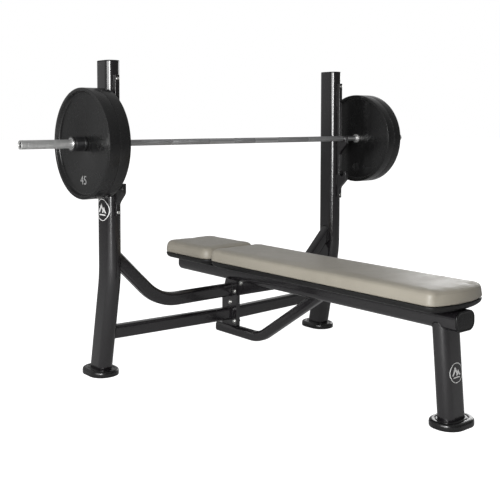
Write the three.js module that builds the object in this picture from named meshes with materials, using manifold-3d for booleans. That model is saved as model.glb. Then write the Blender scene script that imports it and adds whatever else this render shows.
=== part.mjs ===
// Olympic bench press: a flat bench on a low spine, two leaning uprights with two-level bar
// hooks, and a loaded barbell resting in the upper hooks. Millimetres, +Z up. The bench runs
// along Y with the lifter's feet towards -Y, and the bar runs along X.
import * as THREE from "three";
import { mergeVertices } from "three/addons/utils/BufferGeometryUtils.js";
import Module from "manifold-3d";

// Driving dimensions. Heights are above the floor; Y is measured from the uprights' plane.
const GAP = 0.3; // clearance between pieces that touch
const FRAME_TUBE = { wide: 108, thin: 68, corner: 30, wall: 3 };
const ARM_TUBE = { wide: 58, thin: 45, corner: 13, wall: 3 };
const BRACE_TUBE = { wide: 45, thin: 45, corner: 14, wall: 3 };
const CORNER_SEGMENTS = 2; // every quarter round is drawn with twice as many pieces
const WIDE_CORNER_SEGMENTS = 3;
const HOOK_SEGMENTS = 4;
const ROD_SEGMENTS = 12;
const BEND_STEPS = 5;
const PATH_STEPS = BEND_STEPS + 2;

const FRAME_HEIGHT = 1333;
const UPRIGHT_X = 660;
const UPRIGHT_BEND_Z = 432;
const UPRIGHT_FOOT_Y = 84;
const BEND_RUN = 55; // straight length that each end of the upright's bend takes up
const CAP_HEIGHT = 5;
const CAP_PLUG = 22;
const CAP_EDGE = 1.5;

const FOOT_MARGIN = 32; // how far a foot stands out round its tube
const FOOT_HEIGHT = 26;
const FOOT_FLOOR = 6;
const FOOT_BEVEL = 3;
const FRONT_FOOT_Y = -1240;

const SPINE_BOTTOM = 347;
const SPINE_HEIGHT = 74;
const SPINE_HEAD_Y = 350;
const SPINE_FOOT_Y = -1293;
const LEG_TOP_Y = -1210;

const UPPER_ARM_Z = 294;
const UPPER_ARM_CORNER_X = 417; // where the arm's 45 degree slope would meet its level part
const UPPER_ARM_BEND = 100;
const LOWER_ARM_Z = 182;
const LOWER_ARM_OUTER_Y = 47;

const CENTRE_PLATE = 8;
const FLANGE = 6;
const FLANGE_FRONT_Y = -50;
const FLANGE_REAR_Y = 56;
const FLANGE_BOTTOM = 127;
const FLANGE_SHOULDER_Z = 262; // the rear edge leans in from here to the spine
const FLANGE_TOP_Y = 28;
const GUSSET_END_Y = -331;
const GUSSET_TIP_Z = 271;
const FLANGE_BOLTS = [[-35, 289], [-4, 234], [-35, 148]]; // Y, Z
const GUSSET_BOLT = [-73, 333];
const BOLT = { radius: 5, head: 9, headHeight: 6, nut: 9.5, nutHeight: 8, tail: 4 };

const BRACE_Z = 104;
const BRACE_REAR_Y = 92;
const BRACE_CORNER_Y = -206;
const BRACE_TOP_Y = -568;
const BRACE_BEND = 55;

const BOARD = 24;
const BOARD_INSET = 3;
const PAD_BOTTOM = 446;
const PAD_TOP = 504;
const PAD_BEVEL = 12;
const PAD_HALF_WIDTH = 157;
// bow is the radius of the main pad's foot end, which is an arc; the other ends are straight.
const MAIN_PAD = { foot: -1295.5, head: -15, footCorner: 38, headCorner: 46, bow: 350 };
const HEAD_PAD = { foot: -5, head: 350, footCorner: 46, headCorner: 58 };

const BAR_Y = -88;
const BAR_Z = 994;
const HOOK_DROP = 176;
const HOOK_LINER = 3;
const RACK_THICKNESS = 20;
const RACK_BOTTOM = 692;
const RACK_TOP = 1272;
const RACK_BOLT_INSET = 15;
const RACK_BOLT = { head: 7, headHeight: 4, reach: 12 };
// Each hook: its lip, and how far under the bar its ramp starts and ends.
const HOOK = { lip: 12, rise: 11, chamfer: 3, rampFoot: 74, rampTop: 30 };

const BAR_RADIUS = 13;
const JOURNAL_RADIUS = 10;
const SLEEVE_RADIUS = 17.5;
const SLEEVE_BORE = 12.3;
const SLEEVE_START = 751;
const SLEEVE_FLANGE = { radius: 21, end: 763.2 };
const BAR_HALF = 1100;
const SHAFT_RECESS = 16; // the shaft ends this far inside the sleeve's mouth
const SLEEVE_PLUG = { from: 14, to: 5 }; // distances in from the sleeve's mouth
const BUSHING = { length: 55, innerInset: 4, outerInset: 30 };
const PLATE_START = 747.5;
const PLATE = { radius: 221, rim: 13, thickness: 46.8, recess: 16, bore: 17.8, edge: 5 };
const COLLAR = { radius: 29.5, length: 60, chamfer: 3 };
const COLLAR_SCREW = { radius: 4, socket: 2, socketDepth: 4 };
const ROUND_SEGMENTS = 20;
const PLATE_SEGMENTS = 36;

// The part's origin is on the floor, midway between the front foot's edge and the spine's head.
const FOOT_END_Y = FRONT_FOOT_Y - FRAME_TUBE.thin / 2 - FOOT_MARGIN;
const ORIGIN_Y = (FOOT_END_Y + SPINE_HEAD_Y) / 2;

const STEEL = { color: 0x2e2d30, roughness: 0.42, metalness: 0.35 };
const RUBBER = { color: 0x1c1c1d, roughness: 0.8, metalness: 0 };
const PLASTIC = { color: 0x19191a, roughness: 0.55, metalness: 0 };
const CHROME = { color: 0xb9bbbd, roughness: 0.22, metalness: 1 };
const BRONZE = { color: 0x9a7440, roughness: 0.4, metalness: 0.9 };
const LEATHER = { color: 0xa39e8f, roughness: 0.55, metalness: 0 };
const BOARD_FINISH = { color: 0x141414, roughness: 0.7, metalness: 0 };
const IRON = { color: 0x333335, roughness: 0.6, metalness: 0.2 };

const wasm = await Module();
wasm.setup();

const bench = new THREE.Group();
bench.position.y = -ORIGIN_Y;

function addPart(name, geometry, finish) {
  const mesh = new THREE.Mesh(geometry, new THREE.MeshStandardMaterial(finish));
  mesh.name = name;
  bench.add(mesh);
  return mesh;
}

// Solids for joining and cutting.
function toSolid(geometry) {
  const plain = geometry.clone();
  plain.deleteAttribute("normal");
  plain.deleteAttribute("uv");
  const merged = mergeVertices(plain, 1e-3);
  return new wasm.Manifold(new wasm.Mesh({
    numProp: 3,
    vertProperties: merged.attributes.position.array,
    triVerts: new Uint32Array(merged.index.array),
  }));
}

function toGeometry(solid) {
  const mesh = solid.getMesh();
  const geometry = new THREE.BufferGeometry();
  geometry.setAttribute("position", new THREE.BufferAttribute(mesh.vertProperties, 3));
  geometry.setIndex(new THREE.BufferAttribute(mesh.triVerts, 1));
  geometry.computeVertexNormals();
  return geometry;
}

function subtract(geometry, ...cutters) {
  const solid = cutters.reduce((body, cutter) => body.subtract(toSolid(cutter)), toSolid(geometry));
  return toGeometry(solid);
}

function join(...geometries) {
  return toGeometry(geometries.map(toSolid).reduce((body, piece) => body.add(piece)));
}

function boxBetween(low, high) {
  const size = high.map((value, i) => value - low[i]);
  const middle = high.map((value, i) => (value + low[i]) / 2);
  return new THREE.BoxGeometry(...size).translate(...middle);
}

const FAR = 2000;
const below = (z) => boxBetween([-FAR, -FAR, -FAR], [FAR, FAR, z]);
const above = (z) => boxBetween([-FAR, -FAR, z], [FAR, FAR, FAR]);

// Removes what reaches further from the middle plane than outer, or nearer to it than inner.
function trimAcross(geometry, side, inner, outer) {
  const outside = side > 0 ? [outer, FAR] : [-FAR, -outer];
  const inside = side > 0 ? [-FAR, inner] : [-inner, FAR];
  return subtract(
    geometry,
    boxBetween([outside[0], -FAR, -FAR], [outside[1], FAR, FAR]),
    boxBetween([inside[0], -FAR, -FAR], [inside[1], FAR, FAR]),
  );
}

function traceRoundedRectangle(path, width, height, corner) {
  const x = width / 2 - corner;
  const y = height / 2 - corner;
  path.moveTo(x, -height / 2);
  path.absarc(x, -y, corner, -Math.PI / 2, 0, false);
  path.absarc(x, y, corner, 0, Math.PI / 2, false);
  path.absarc(-x, y, corner, Math.PI / 2, Math.PI, false);
  path.absarc(-x, -y, corner, Math.PI, 1.5 * Math.PI, false);
  path.closePath();
  return path;
}

function roundedRectangle(width, height, corner) {
  return traceRoundedRectangle(new THREE.Shape(), width, height, corner);
}

function tubeSection(width, height, corner, wall) {
  const shape = roundedRectangle(width, height, corner);
  if (wall) {
    const bore = [width - 2 * wall, height - 2 * wall, corner - wall];
    shape.holes.push(traceRoundedRectangle(new THREE.Path(), ...bore));
  }
  return shape;
}

// The shape's x runs across the plane of a flat path, and its y lies in that plane.
function sweep(shape, path, steps) {
  return new THREE.ExtrudeGeometry(shape, {
    steps,
    extrudePath: path,
    curveSegments: CORNER_SEGMENTS,
    bevelEnabled: false,
  });
}

// Two straight runs joined by a bend that starts and ends the given length from the corner.
// It is sampled once along each straight run, and BEND_STEPS times round the bend.
class BentPath extends THREE.Curve {
  constructor(start, corner, end, bend) {
    super();
    const from = corner.clone().add(start.clone().sub(corner).setLength(bend));
    const to = corner.clone().add(end.clone().sub(corner).setLength(bend));
    this.first = new THREE.LineCurve3(start, from);
    this.turn = new THREE.QuadraticBezierCurve3(from, corner, to);
    this.last = new THREE.LineCurve3(to, end);
  }

  getPoint(t) {
    const step = t * PATH_STEPS;
    if (step <= 1) return this.first.getPoint(step);
    if (step >= PATH_STEPS - 1) return this.last.getPoint(step - PATH_STEPS + 1);
    return this.turn.getPoint((step - 1) / BEND_STEPS);
  }

  getPointAt(t) {
    return this.getPoint(t);
  }

  getTangentAt(t) {
    return this.getTangent(t);
  }
}

// Extrudes a shape drawn in Y and Z along X, centred on the given X.
function plateAcross(shape, x, thickness, curveSegments = CORNER_SEGMENTS) {
  const flat = new THREE.ExtrudeGeometry(shape, {
    depth: thickness,
    curveSegments,
    bevelEnabled: false,
  });
  const yzx = new THREE.Matrix4().makeBasis(
    new THREE.Vector3(0, 1, 0),
    new THREE.Vector3(0, 0, 1),
    new THREE.Vector3(1, 0, 0),
  );
  return flat.applyMatrix4(yzx).translate(x - thickness / 2, 0, 0);
}

// Turns a closed outline of [distance along X, radius] points about the X axis.
function turned(outline, segments = ROUND_SEGMENTS) {
  const points = outline.map(([along, radius]) => new THREE.Vector2(radius, along));
  return new THREE.LatheGeometry(points, segments).rotateZ(-Math.PI / 2);
}

function rodAcross(radius, from, to, y, z, segments = ROD_SEGMENTS) {
  return new THREE.CylinderGeometry(radius, radius, to - from, segments)
    .rotateZ(-Math.PI / 2)
    .translate((from + to) / 2, y, z);
}

function rodAlongY(radius, x, from, to, z, segments = ROD_SEGMENTS) {
  return new THREE.CylinderGeometry(radius, radius, to - from, segments)
    .translate(x, (from + to) / 2, z);
}

// Uprights

function uprightPath(side) {
  const x = side * UPRIGHT_X;
  const lean = UPRIGHT_FOOT_Y / UPRIGHT_BEND_Z;
  const buried = 40; // the path starts under the floor, and the tube is cut off level
  return new BentPath(
    new THREE.Vector3(x, UPRIGHT_FOOT_Y + lean * buried, -buried),
    new THREE.Vector3(x, 0, UPRIGHT_BEND_Z),
    new THREE.Vector3(x, 0, FRAME_HEIGHT - CAP_HEIGHT - GAP),
    BEND_RUN,
  );
}

function upright(side) {
  const { wide, thin, corner, wall } = FRAME_TUBE;
  const tube = sweep(tubeSection(thin, wide, corner, wall), uprightPath(side), PATH_STEPS);
  const reach = 10;
  const holes = rackBoltHeights().map((z) =>
    rodAlongY(BOLT.radius + GAP, side * UPRIGHT_X, -wide / 2 - reach, -wide / 2 + reach, z));
  return subtract(tube, below(FOOT_FLOOR + GAP), ...holes);
}

// The space that a tube's foot takes in its rubber shoe.
function tubeSpace(width, height, path, steps) {
  const corner = FRAME_TUBE.corner + GAP;
  const shape = roundedRectangle(width + 2 * GAP, height + 2 * GAP, corner);
  return subtract(sweep(shape, path, steps), below(FOOT_FLOOR));
}

function foot(width, depth, x, y, tube) {
  const shape = roundedRectangle(
    width + 2 * (FOOT_MARGIN - FOOT_BEVEL),
    depth + 2 * (FOOT_MARGIN - FOOT_BEVEL),
    FRAME_TUBE.corner + FOOT_MARGIN - FOOT_BEVEL,
  );
  const block = new THREE.ExtrudeGeometry(shape, {
    depth: FOOT_HEIGHT - 2 * FOOT_BEVEL,
    curveSegments: WIDE_CORNER_SEGMENTS,
    bevelThickness: FOOT_BEVEL,
    bevelSize: FOOT_BEVEL,
    bevelSegments: 1,
  }).translate(x, y, FOOT_BEVEL);
  return subtract(block, tube);
}

// A cap that closes a tube's end: a face plate with a plug behind it, drawn facing +Z.
function endCap(width, height, corner, wall) {
  const face = new THREE.ExtrudeGeometry(
    roundedRectangle(width - 2 * CAP_EDGE, height - 2 * CAP_EDGE, corner - CAP_EDGE),
    {
      depth: CAP_HEIGHT - 2 * CAP_EDGE,
      curveSegments: CORNER_SEGMENTS,
      bevelThickness: CAP_EDGE,
      bevelSize: CAP_EDGE,
      bevelSegments: 1,
    },
  ).translate(0, 0, CAP_EDGE);
  const inset = wall + GAP;
  const overlap = 1; // the plug runs a little way into the face plate, so that they join
  const plug = new THREE.ExtrudeGeometry(
    roundedRectangle(width - 2 * inset, height - 2 * inset, corner - inset),
    { depth: CAP_PLUG + overlap, curveSegments: CORNER_SEGMENTS, bevelEnabled: false },
  ).translate(0, 0, -CAP_PLUG);
  return join(face, plug);
}

// Arms, flanges and the centre plate

const FLANGE_OUTER = CENTRE_PLATE / 2 + GAP + FLANGE;

function upperArm(side) {
  const { wide, thin, corner, wall } = ARM_TUBE;
  const overrun = 40;
  const rise = UPRIGHT_X - UPPER_ARM_CORNER_X;
  const path = new BentPath(
    new THREE.Vector3(side * (UPPER_ARM_CORNER_X + rise), 0, UPPER_ARM_Z + rise),
    new THREE.Vector3(side * UPPER_ARM_CORNER_X, 0, UPPER_ARM_Z),
    new THREE.Vector3(side * (FLANGE_OUTER - overrun), 0, UPPER_ARM_Z),
    UPPER_ARM_BEND,
  );
  const tube = sweep(tubeSection(thin, wide, corner, wall), path, PATH_STEPS);
  return trimAcross(tube, side, FLANGE_OUTER + GAP, UPRIGHT_X - FRAME_TUBE.thin / 2 - GAP);
}

function lowerArm(side) {
  const { wide, thin, corner, wall } = ARM_TUBE;
  const path = new THREE.LineCurve3(
    new THREE.Vector3(side * UPRIGHT_X, LOWER_ARM_OUTER_Y, LOWER_ARM_Z),
    new THREE.Vector3(0, 0, LOWER_ARM_Z),
  );
  const tube = sweep(tubeSection(wide, thin, corner, wall), path, 1);
  return trimAcross(tube, side, FLANGE_OUTER + GAP, UPRIGHT_X - FRAME_TUBE.thin / 2 - GAP);
}

function outline(points) {
  return new THREE.Shape(points.map(([y, z]) => new THREE.Vector2(y, z)));
}

const PLATE_TOP = SPINE_BOTTOM - GAP;
const FLANGE_SHOULDER = [[FLANGE_REAR_Y, FLANGE_SHOULDER_Z], [FLANGE_TOP_Y, PLATE_TOP]];

function boltHole([y, z]) {
  const reach = 30;
  return rodAcross(BOLT.radius + GAP, -reach, reach, y, z);
}

function flange(side) {
  const shape = outline([
    [FLANGE_FRONT_Y, FLANGE_BOTTOM],
    [FLANGE_REAR_Y, FLANGE_BOTTOM],
    ...FLANGE_SHOULDER,
    [FLANGE_FRONT_Y, PLATE_TOP],
  ]);
  const x = side * (CENTRE_PLATE / 2 + GAP + FLANGE / 2);
  return subtract(plateAcross(shape, x, FLANGE), ...FLANGE_BOLTS.map(boltHole));
}

function centrePlate() {
  const shape = outline([
    [FLANGE_FRONT_Y, FLANGE_BOTTOM],
    [FLANGE_REAR_Y, FLANGE_BOTTOM],
    ...FLANGE_SHOULDER,
    [GUSSET_END_Y, PLATE_TOP],
    [FLANGE_FRONT_Y, GUSSET_TIP_Z],
  ]);
  const holes = [...FLANGE_BOLTS, GUSSET_BOLT].map(boltHole);
  return subtract(plateAcross(shape, 0, CENTRE_PLATE), ...holes);
}

// A through bolt along X whose head bears on the left at -grip, and its nut on the right.
function throughBolt(y, z, grip) {
  const seat = -grip - GAP;
  const head = rodAcross(BOLT.head, seat - BOLT.headHeight, seat, y, z);
  const shank = rodAcross(BOLT.radius, seat - 1, grip + BOLT.nutHeight + BOLT.tail, y, z);
  return join(head, shank);
}

function boltNut(y, z, grip) {
  const start = grip + GAP;
  const end = start + BOLT.nutHeight;
  const body = rodAcross(BOLT.nut, start, end, y, z, 6);
  return subtract(body, rodAcross(BOLT.radius + GAP, start - 1, end + 1, y, z));
}

// Spine, brace and front leg

function spineBlock(margin) {
  const shape = roundedRectangle(
    FRAME_TUBE.wide + 2 * margin,
    SPINE_HEIGHT + 2 * margin,
    FRAME_TUBE.corner + margin,
  );
  const length = SPINE_HEAD_Y - SPINE_FOOT_Y;
  return new THREE.ExtrudeGeometry(shape, {
    depth: length,
    curveSegments: CORNER_SEGMENTS,
    bevelEnabled: false,
  })
    .rotateX(Math.PI / 2)
    .translate(0, SPINE_HEAD_Y, SPINE_BOTTOM + SPINE_HEIGHT / 2);
}

function spine() {
  const { wide, corner, wall } = FRAME_TUBE;
  const shape = tubeSection(wide, SPINE_HEIGHT, corner, wall);
  const trim = CAP_HEIGHT + GAP;
  return new THREE.ExtrudeGeometry(shape, {
    depth: SPINE_HEAD_Y - SPINE_FOOT_Y - 2 * trim,
    curveSegments: CORNER_SEGMENTS,
    bevelEnabled: false,
  })
    .rotateX(Math.PI / 2)
    .translate(0, SPINE_HEAD_Y - trim, SPINE_BOTTOM + SPINE_HEIGHT / 2);
}

function legPath() {
  const lean = (LEG_TOP_Y - FRONT_FOOT_Y) / SPINE_BOTTOM;
  const overrun = 60;
  return new THREE.LineCurve3(
    new THREE.Vector3(0, FRONT_FOOT_Y - lean * overrun, -overrun),
    new THREE.Vector3(0, LEG_TOP_Y + lean * overrun, SPINE_BOTTOM + overrun),
  );
}

function frontLeg() {
  const { wide, thin, corner, wall } = FRAME_TUBE;
  const tube = sweep(tubeSection(wide, thin, corner, wall), legPath(), 1);
  const middle = SPINE_BOTTOM + SPINE_HEIGHT / 2;
  return subtract(tube, below(FOOT_FLOOR + GAP), spineBlock(GAP), above(middle));
}

function brace() {
  const { wide, thin, corner, wall } = BRACE_TUBE;
  const rise = (SPINE_BOTTOM - BRACE_Z) / (BRACE_CORNER_Y - BRACE_TOP_Y);
  const overrun = 60;
  const path = new BentPath(
    new THREE.Vector3(0, BRACE_REAR_Y - CAP_HEIGHT - GAP, BRACE_Z),
    new THREE.Vector3(0, BRACE_CORNER_Y, BRACE_Z),
    new THREE.Vector3(0, BRACE_TOP_Y - overrun, SPINE_BOTTOM + rise * overrun),
    BRACE_BEND,
  );
  const tube = sweep(tubeSection(wide, thin, corner, wall), path, PATH_STEPS);
  return subtract(tube, above(SPINE_BOTTOM - GAP));
}

// Bar racks

function rackBoltHeights() {
  return [RACK_TOP - RACK_BOLT_INSET, RACK_BOTTOM + RACK_BOLT_INSET];
}

const CRADLE_RADIUS = BAR_RADIUS + HOOK_LINER + 2 * GAP;
const RACK_FRONT = BAR_Y + CRADLE_RADIUS;
const HOOK_HEIGHTS = { upper: BAR_Z, lower: BAR_Z - HOOK_DROP };

// Side view of the rack: a strip down the upright's front face with a hook at each height.
function rackPlate(side) {
  const back = -FRAME_TUBE.wide / 2 - GAP;
  const inner = BAR_Y - CRADLE_RADIUS;
  const outer = inner - HOOK.lip;
  const shape = new THREE.Shape();
  shape.moveTo(back, RACK_TOP);
  shape.lineTo(back, RACK_BOTTOM);
  shape.lineTo(RACK_FRONT, RACK_BOTTOM);
  for (const z of [HOOK_HEIGHTS.lower, HOOK_HEIGHTS.upper]) {
    shape.lineTo(RACK_FRONT, z - HOOK.rampFoot);
    shape.lineTo(outer, z - HOOK.rampTop);
    shape.lineTo(outer, z + HOOK.rise - HOOK.chamfer);
    shape.lineTo(outer + HOOK.chamfer, z + HOOK.rise);
    shape.lineTo(inner, z + HOOK.rise);
    shape.lineTo(inner, z);
    shape.absarc(BAR_Y, z, CRADLE_RADIUS, Math.PI, 2 * Math.PI, false);
  }
  shape.lineTo(RACK_FRONT, RACK_TOP);
  shape.closePath();
  const plate = plateAcross(shape, side * UPRIGHT_X, RACK_THICKNESS, HOOK_SEGMENTS);
  const reach = 10;
  const holes = rackBoltHeights().map((z) =>
    rodAlongY(BOLT.radius + GAP, side * UPRIGHT_X, RACK_FRONT - reach, back + reach, z));
  return subtract(plate, ...holes);
}

// A plastic half round that keeps the bar off the steel.
function hookLiner(side, z) {
  const outside = CRADLE_RADIUS - GAP;
  const inside = BAR_RADIUS + GAP;
  const rise = HOOK.rise - 1;
  const shape = new THREE.Shape();
  shape.moveTo(BAR_Y - outside, z + rise);
  shape.absarc(BAR_Y, z, outside, Math.PI, 2 * Math.PI, false);
  shape.lineTo(BAR_Y + outside, z + rise);
  shape.lineTo(BAR_Y + inside, z + rise);
  shape.absarc(BAR_Y, z, inside, 2 * Math.PI, Math.PI, true);
  shape.lineTo(BAR_Y - inside, z + rise);
  shape.closePath();
  return plateAcross(shape, side * UPRIGHT_X, RACK_THICKNESS - 2, HOOK_SEGMENTS);
}

function rackBolt(side, z) {
  const x = side * UPRIGHT_X;
  const seat = RACK_FRONT - GAP;
  const tip = -FRAME_TUBE.wide / 2 + RACK_BOLT.reach;
  const head = rodAlongY(RACK_BOLT.head, x, seat - RACK_BOLT.headHeight, seat, z);
  return join(head, rodAlongY(BOLT.radius, x, seat - 1, tip, z));
}

// Pads and boards, drawn from above

// A pad's plan, drawn inset from its edge: straight sides, a straight head end, and a foot end
// that is straight or, where bow gives a radius, bowed outwards.
function padOutline({ foot, head, footCorner, headCorner, bow }, inset) {
  const half = PAD_HALF_WIDTH - inset;
  const near = footCorner - inset;
  const far = headCorner - inset;
  const centreX = half - near;
  // The foot corners touch the arc from inside, and turn is the angle of that touching point.
  const bowCentre = foot + (bow ?? 0);
  const cornerY = bow
    ? bowCentre - Math.sqrt((bow - footCorner) ** 2 - centreX ** 2)
    : foot + inset + near;
  const turn = bow ? Math.atan2(cornerY - bowCentre, centreX) : -Math.PI / 2;
  const shape = new THREE.Shape();
  if (bow) shape.absarc(0, bowCentre, bow - inset, -Math.PI - turn, turn, false);
  shape.absarc(centreX, cornerY, near, turn, 0, false);
  shape.absarc(half - far, head - inset - far, far, 0, Math.PI / 2, false);
  shape.absarc(far - half, head - inset - far, far, Math.PI / 2, Math.PI, false);
  shape.absarc(-centreX, cornerY, near, Math.PI, Math.PI - turn, false);
  shape.closePath();
  return shape;
}

function cushion(pad) {
  return new THREE.ExtrudeGeometry(padOutline(pad, PAD_BEVEL), {
    depth: PAD_TOP - PAD_BOTTOM - 2 * PAD_BEVEL,
    curveSegments: WIDE_CORNER_SEGMENTS,
    bevelThickness: PAD_BEVEL,
    bevelSize: PAD_BEVEL,
    bevelSegments: 1,
  }).translate(0, 0, PAD_BOTTOM + PAD_BEVEL);
}

function board(pad) {
  return new THREE.ExtrudeGeometry(padOutline(pad, BOARD_INSET), {
    depth: BOARD,
    curveSegments: WIDE_CORNER_SEGMENTS,
    bevelEnabled: false,
  }).translate(0, 0, PAD_BOTTOM - GAP - BOARD);
}

// Barbell, turned about the X axis at the origin and then set in the hooks

function setBar(mesh, side) {
  mesh.rotation.z = side < 0 ? Math.PI : 0;
  mesh.position.set(0, BAR_Y, BAR_Z);
}

function barShaft() {
  const shoulder = SLEEVE_START - GAP;
  const end = BAR_HALF - SHAFT_RECESS;
  return turned([
    [-end, 0],
    [-end, JOURNAL_RADIUS],
    [-shoulder, JOURNAL_RADIUS],
    [-shoulder, BAR_RADIUS],
    [shoulder, BAR_RADIUS],
    [shoulder, JOURNAL_RADIUS],
    [end, JOURNAL_RADIUS],
    [end, 0],
  ]);
}

function sleeve() {
  const edge = 2;
  return turned([
    [SLEEVE_START, SLEEVE_BORE],
    [SLEEVE_START, SLEEVE_FLANGE.radius - edge],
    [SLEEVE_START + edge, SLEEVE_FLANGE.radius],
    [SLEEVE_FLANGE.end, SLEEVE_FLANGE.radius],
    [SLEEVE_FLANGE.end, SLEEVE_RADIUS],
    [BAR_HALF - edge, SLEEVE_RADIUS],
    [BAR_HALF, SLEEVE_RADIUS - edge],
    [BAR_HALF, SLEEVE_BORE],
    [SLEEVE_START, SLEEVE_BORE],
  ]);
}

function ring(from, inside, outside) {
  const to = from + BUSHING.length;
  return turned([
    [from, inside],
    [from, outside],
    [to, outside],
    [to, inside],
    [from, inside],
  ]);
}

function sleevePlug() {
  const from = BAR_HALF - SLEEVE_PLUG.from;
  const to = BAR_HALF - SLEEVE_PLUG.to;
  const radius = SLEEVE_BORE - GAP;
  return turned([[from, 0], [from, radius], [to, radius], [to, 0]]);
}

function weightPlate(start) {
  const { radius, rim, thickness, recess, bore, edge } = PLATE;
  const end = start + thickness;
  const face = radius - rim;
  const web = face - recess * 0.25; // the rim's inner wall has a little draft
  return turned([
    [start + recess, bore],
    [start + recess, web],
    [start, face],
    [start, radius - edge],
    [start + edge, radius],
    [end - edge, radius],
    [end, radius - edge],
    [end, face],
    [end - recess, web],
    [end - recess, bore],
    [start + recess, bore],
  ], PLATE_SEGMENTS);
}

const INNER_PLATE_START = PLATE_START;
const OUTER_PLATE_START = PLATE_START + PLATE.thickness + GAP;
const COLLAR_START = OUTER_PLATE_START + PLATE.thickness - PLATE.recess + GAP;
const COLLAR_MIDDLE = COLLAR_START + COLLAR.length / 2;

function collar(side) {
  const end = COLLAR_START + COLLAR.length;
  const body = turned([
    [COLLAR_START, PLATE.bore],
    [COLLAR_START, COLLAR.radius],
    [end - COLLAR.chamfer, COLLAR.radius],
    [end, COLLAR.radius - COLLAR.chamfer],
    [end, PLATE.bore],
    [COLLAR_START, PLATE.bore],
  ]);
  const hole = rodAlongY(COLLAR_SCREW.radius + GAP, COLLAR_MIDDLE, 0, COLLAR.radius + 1, 0);
  return subtract(body, side > 0 ? hole.rotateX(Math.PI) : hole);
}

function collarScrew(side) {
  const from = PLATE.bore + GAP;
  const { radius, socket, socketDepth } = COLLAR_SCREW;
  const top = COLLAR.radius - 1;
  const screw = rodAlongY(radius, COLLAR_MIDDLE, from, top, 0);
  const hexagon = rodAlongY(socket, COLLAR_MIDDLE, top - socketDepth, top + 1, 0, 6);
  const body = subtract(screw, hexagon);
  return side > 0 ? body.rotateX(Math.PI) : body;
}

// Assembly

for (const [side, hand] of [[-1, "left"], [1, "right"]]) {
  const x = side * UPRIGHT_X;
  addPart(`${hand}_upright`, upright(side), STEEL);
  const cap = endCap(FRAME_TUBE.thin, FRAME_TUBE.wide, FRAME_TUBE.corner, FRAME_TUBE.wall);
  addPart(`${hand}_upright_cap`, cap, PLASTIC).position.set(x, 0, FRAME_HEIGHT - CAP_HEIGHT);
  const space = tubeSpace(FRAME_TUBE.thin, FRAME_TUBE.wide, uprightPath(side), PATH_STEPS);
  const shoe = foot(FRAME_TUBE.thin, FRAME_TUBE.wide, x, UPRIGHT_FOOT_Y, space);
  addPart(`${hand}_foot`, shoe, RUBBER);
  addPart(`${hand}_upper_arm`, upperArm(side), STEEL);
  addPart(`${hand}_lower_arm`, lowerArm(side), STEEL);
  addPart(`${hand}_flange`, flange(side), STEEL);
  addPart(`${hand}_rack_plate`, rackPlate(side), STEEL);
  for (const [level, z] of Object.entries(HOOK_HEIGHTS))
    addPart(`${hand}_${level}_hook_liner`, hookLiner(side, z), PLASTIC);
  rackBoltHeights().forEach((z, i) =>
    addPart(`${hand}_rack_bolt_${i + 1}`, rackBolt(side, z), CHROME));
}

addPart("centre_plate", centrePlate(), STEEL);
FLANGE_BOLTS.forEach(([y, z], i) => {
  addPart(`flange_bolt_${i + 1}`, throughBolt(y, z, FLANGE_OUTER), CHROME);
  addPart(`flange_nut_${i + 1}`, boltNut(y, z, FLANGE_OUTER), CHROME);
});
addPart("gusset_bolt", throughBolt(...GUSSET_BOLT, CENTRE_PLATE / 2), CHROME);
addPart("gusset_nut", boltNut(...GUSSET_BOLT, CENTRE_PLATE / 2), CHROME);

addPart("spine", spine(), STEEL);
for (const [name, y, turn] of [
  ["spine_head_cap", SPINE_HEAD_Y - CAP_HEIGHT, -Math.PI / 2],
  ["spine_foot_cap", SPINE_FOOT_Y + CAP_HEIGHT, Math.PI / 2],
]) {
  const cap = endCap(FRAME_TUBE.wide, SPINE_HEIGHT, FRAME_TUBE.corner, FRAME_TUBE.wall);
  const mesh = addPart(name, cap, PLASTIC);
  mesh.rotation.x = turn;
  mesh.position.set(0, y, SPINE_BOTTOM + SPINE_HEIGHT / 2);
}
addPart("brace", brace(), STEEL);
const braceCap = addPart(
  "brace_cap",
  endCap(BRACE_TUBE.thin, BRACE_TUBE.wide, BRACE_TUBE.corner, BRACE_TUBE.wall),
  PLASTIC,
);
braceCap.rotation.x = -Math.PI / 2;
braceCap.position.set(0, BRACE_REAR_Y - CAP_HEIGHT, BRACE_Z);
addPart("front_leg", frontLeg(), STEEL);
const legSpace = tubeSpace(FRAME_TUBE.wide, FRAME_TUBE.thin, legPath(), 1);
const frontFoot = foot(FRAME_TUBE.wide, FRAME_TUBE.thin, 0, FRONT_FOOT_Y, legSpace);
addPart("front_foot", frontFoot, RUBBER);

for (const [name, pad] of [["main", MAIN_PAD], ["head", HEAD_PAD]]) {
  addPart(`${name}_pad`, cushion(pad), LEATHER);
  addPart(`${name}_board`, board(pad), BOARD_FINISH);
}

addPart("bar_shaft", barShaft(), CHROME).position.set(0, BAR_Y, BAR_Z);
for (const [side, hand] of [[-1, "left"], [1, "right"]]) {
  const inside = JOURNAL_RADIUS + GAP;
  const outside = SLEEVE_BORE - GAP;
  const innerBushing = SLEEVE_START + BUSHING.innerInset;
  const outerBushing = BAR_HALF - BUSHING.outerInset - BUSHING.length;
  const pieces = [
    ["sleeve", sleeve(), CHROME],
    ["inner_bushing", ring(innerBushing, inside, outside), BRONZE],
    ["outer_bushing", ring(outerBushing, inside, outside), BRONZE],
    ["sleeve_plug", sleevePlug(), PLASTIC],
    ["inner_weight", weightPlate(INNER_PLATE_START), IRON],
    ["outer_weight", weightPlate(OUTER_PLATE_START), IRON],
    ["collar", collar(side), PLASTIC],
    ["collar_screw", collarScrew(side), CHROME],
  ];
  for (const [piece, geometry, finish] of pieces)
    setBar(addPart(`${hand}_${piece}`, geometry, finish), side);
}

export default bench;
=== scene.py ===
import math

import bmesh
import bpy
from mathutils import Matrix, Vector


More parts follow.
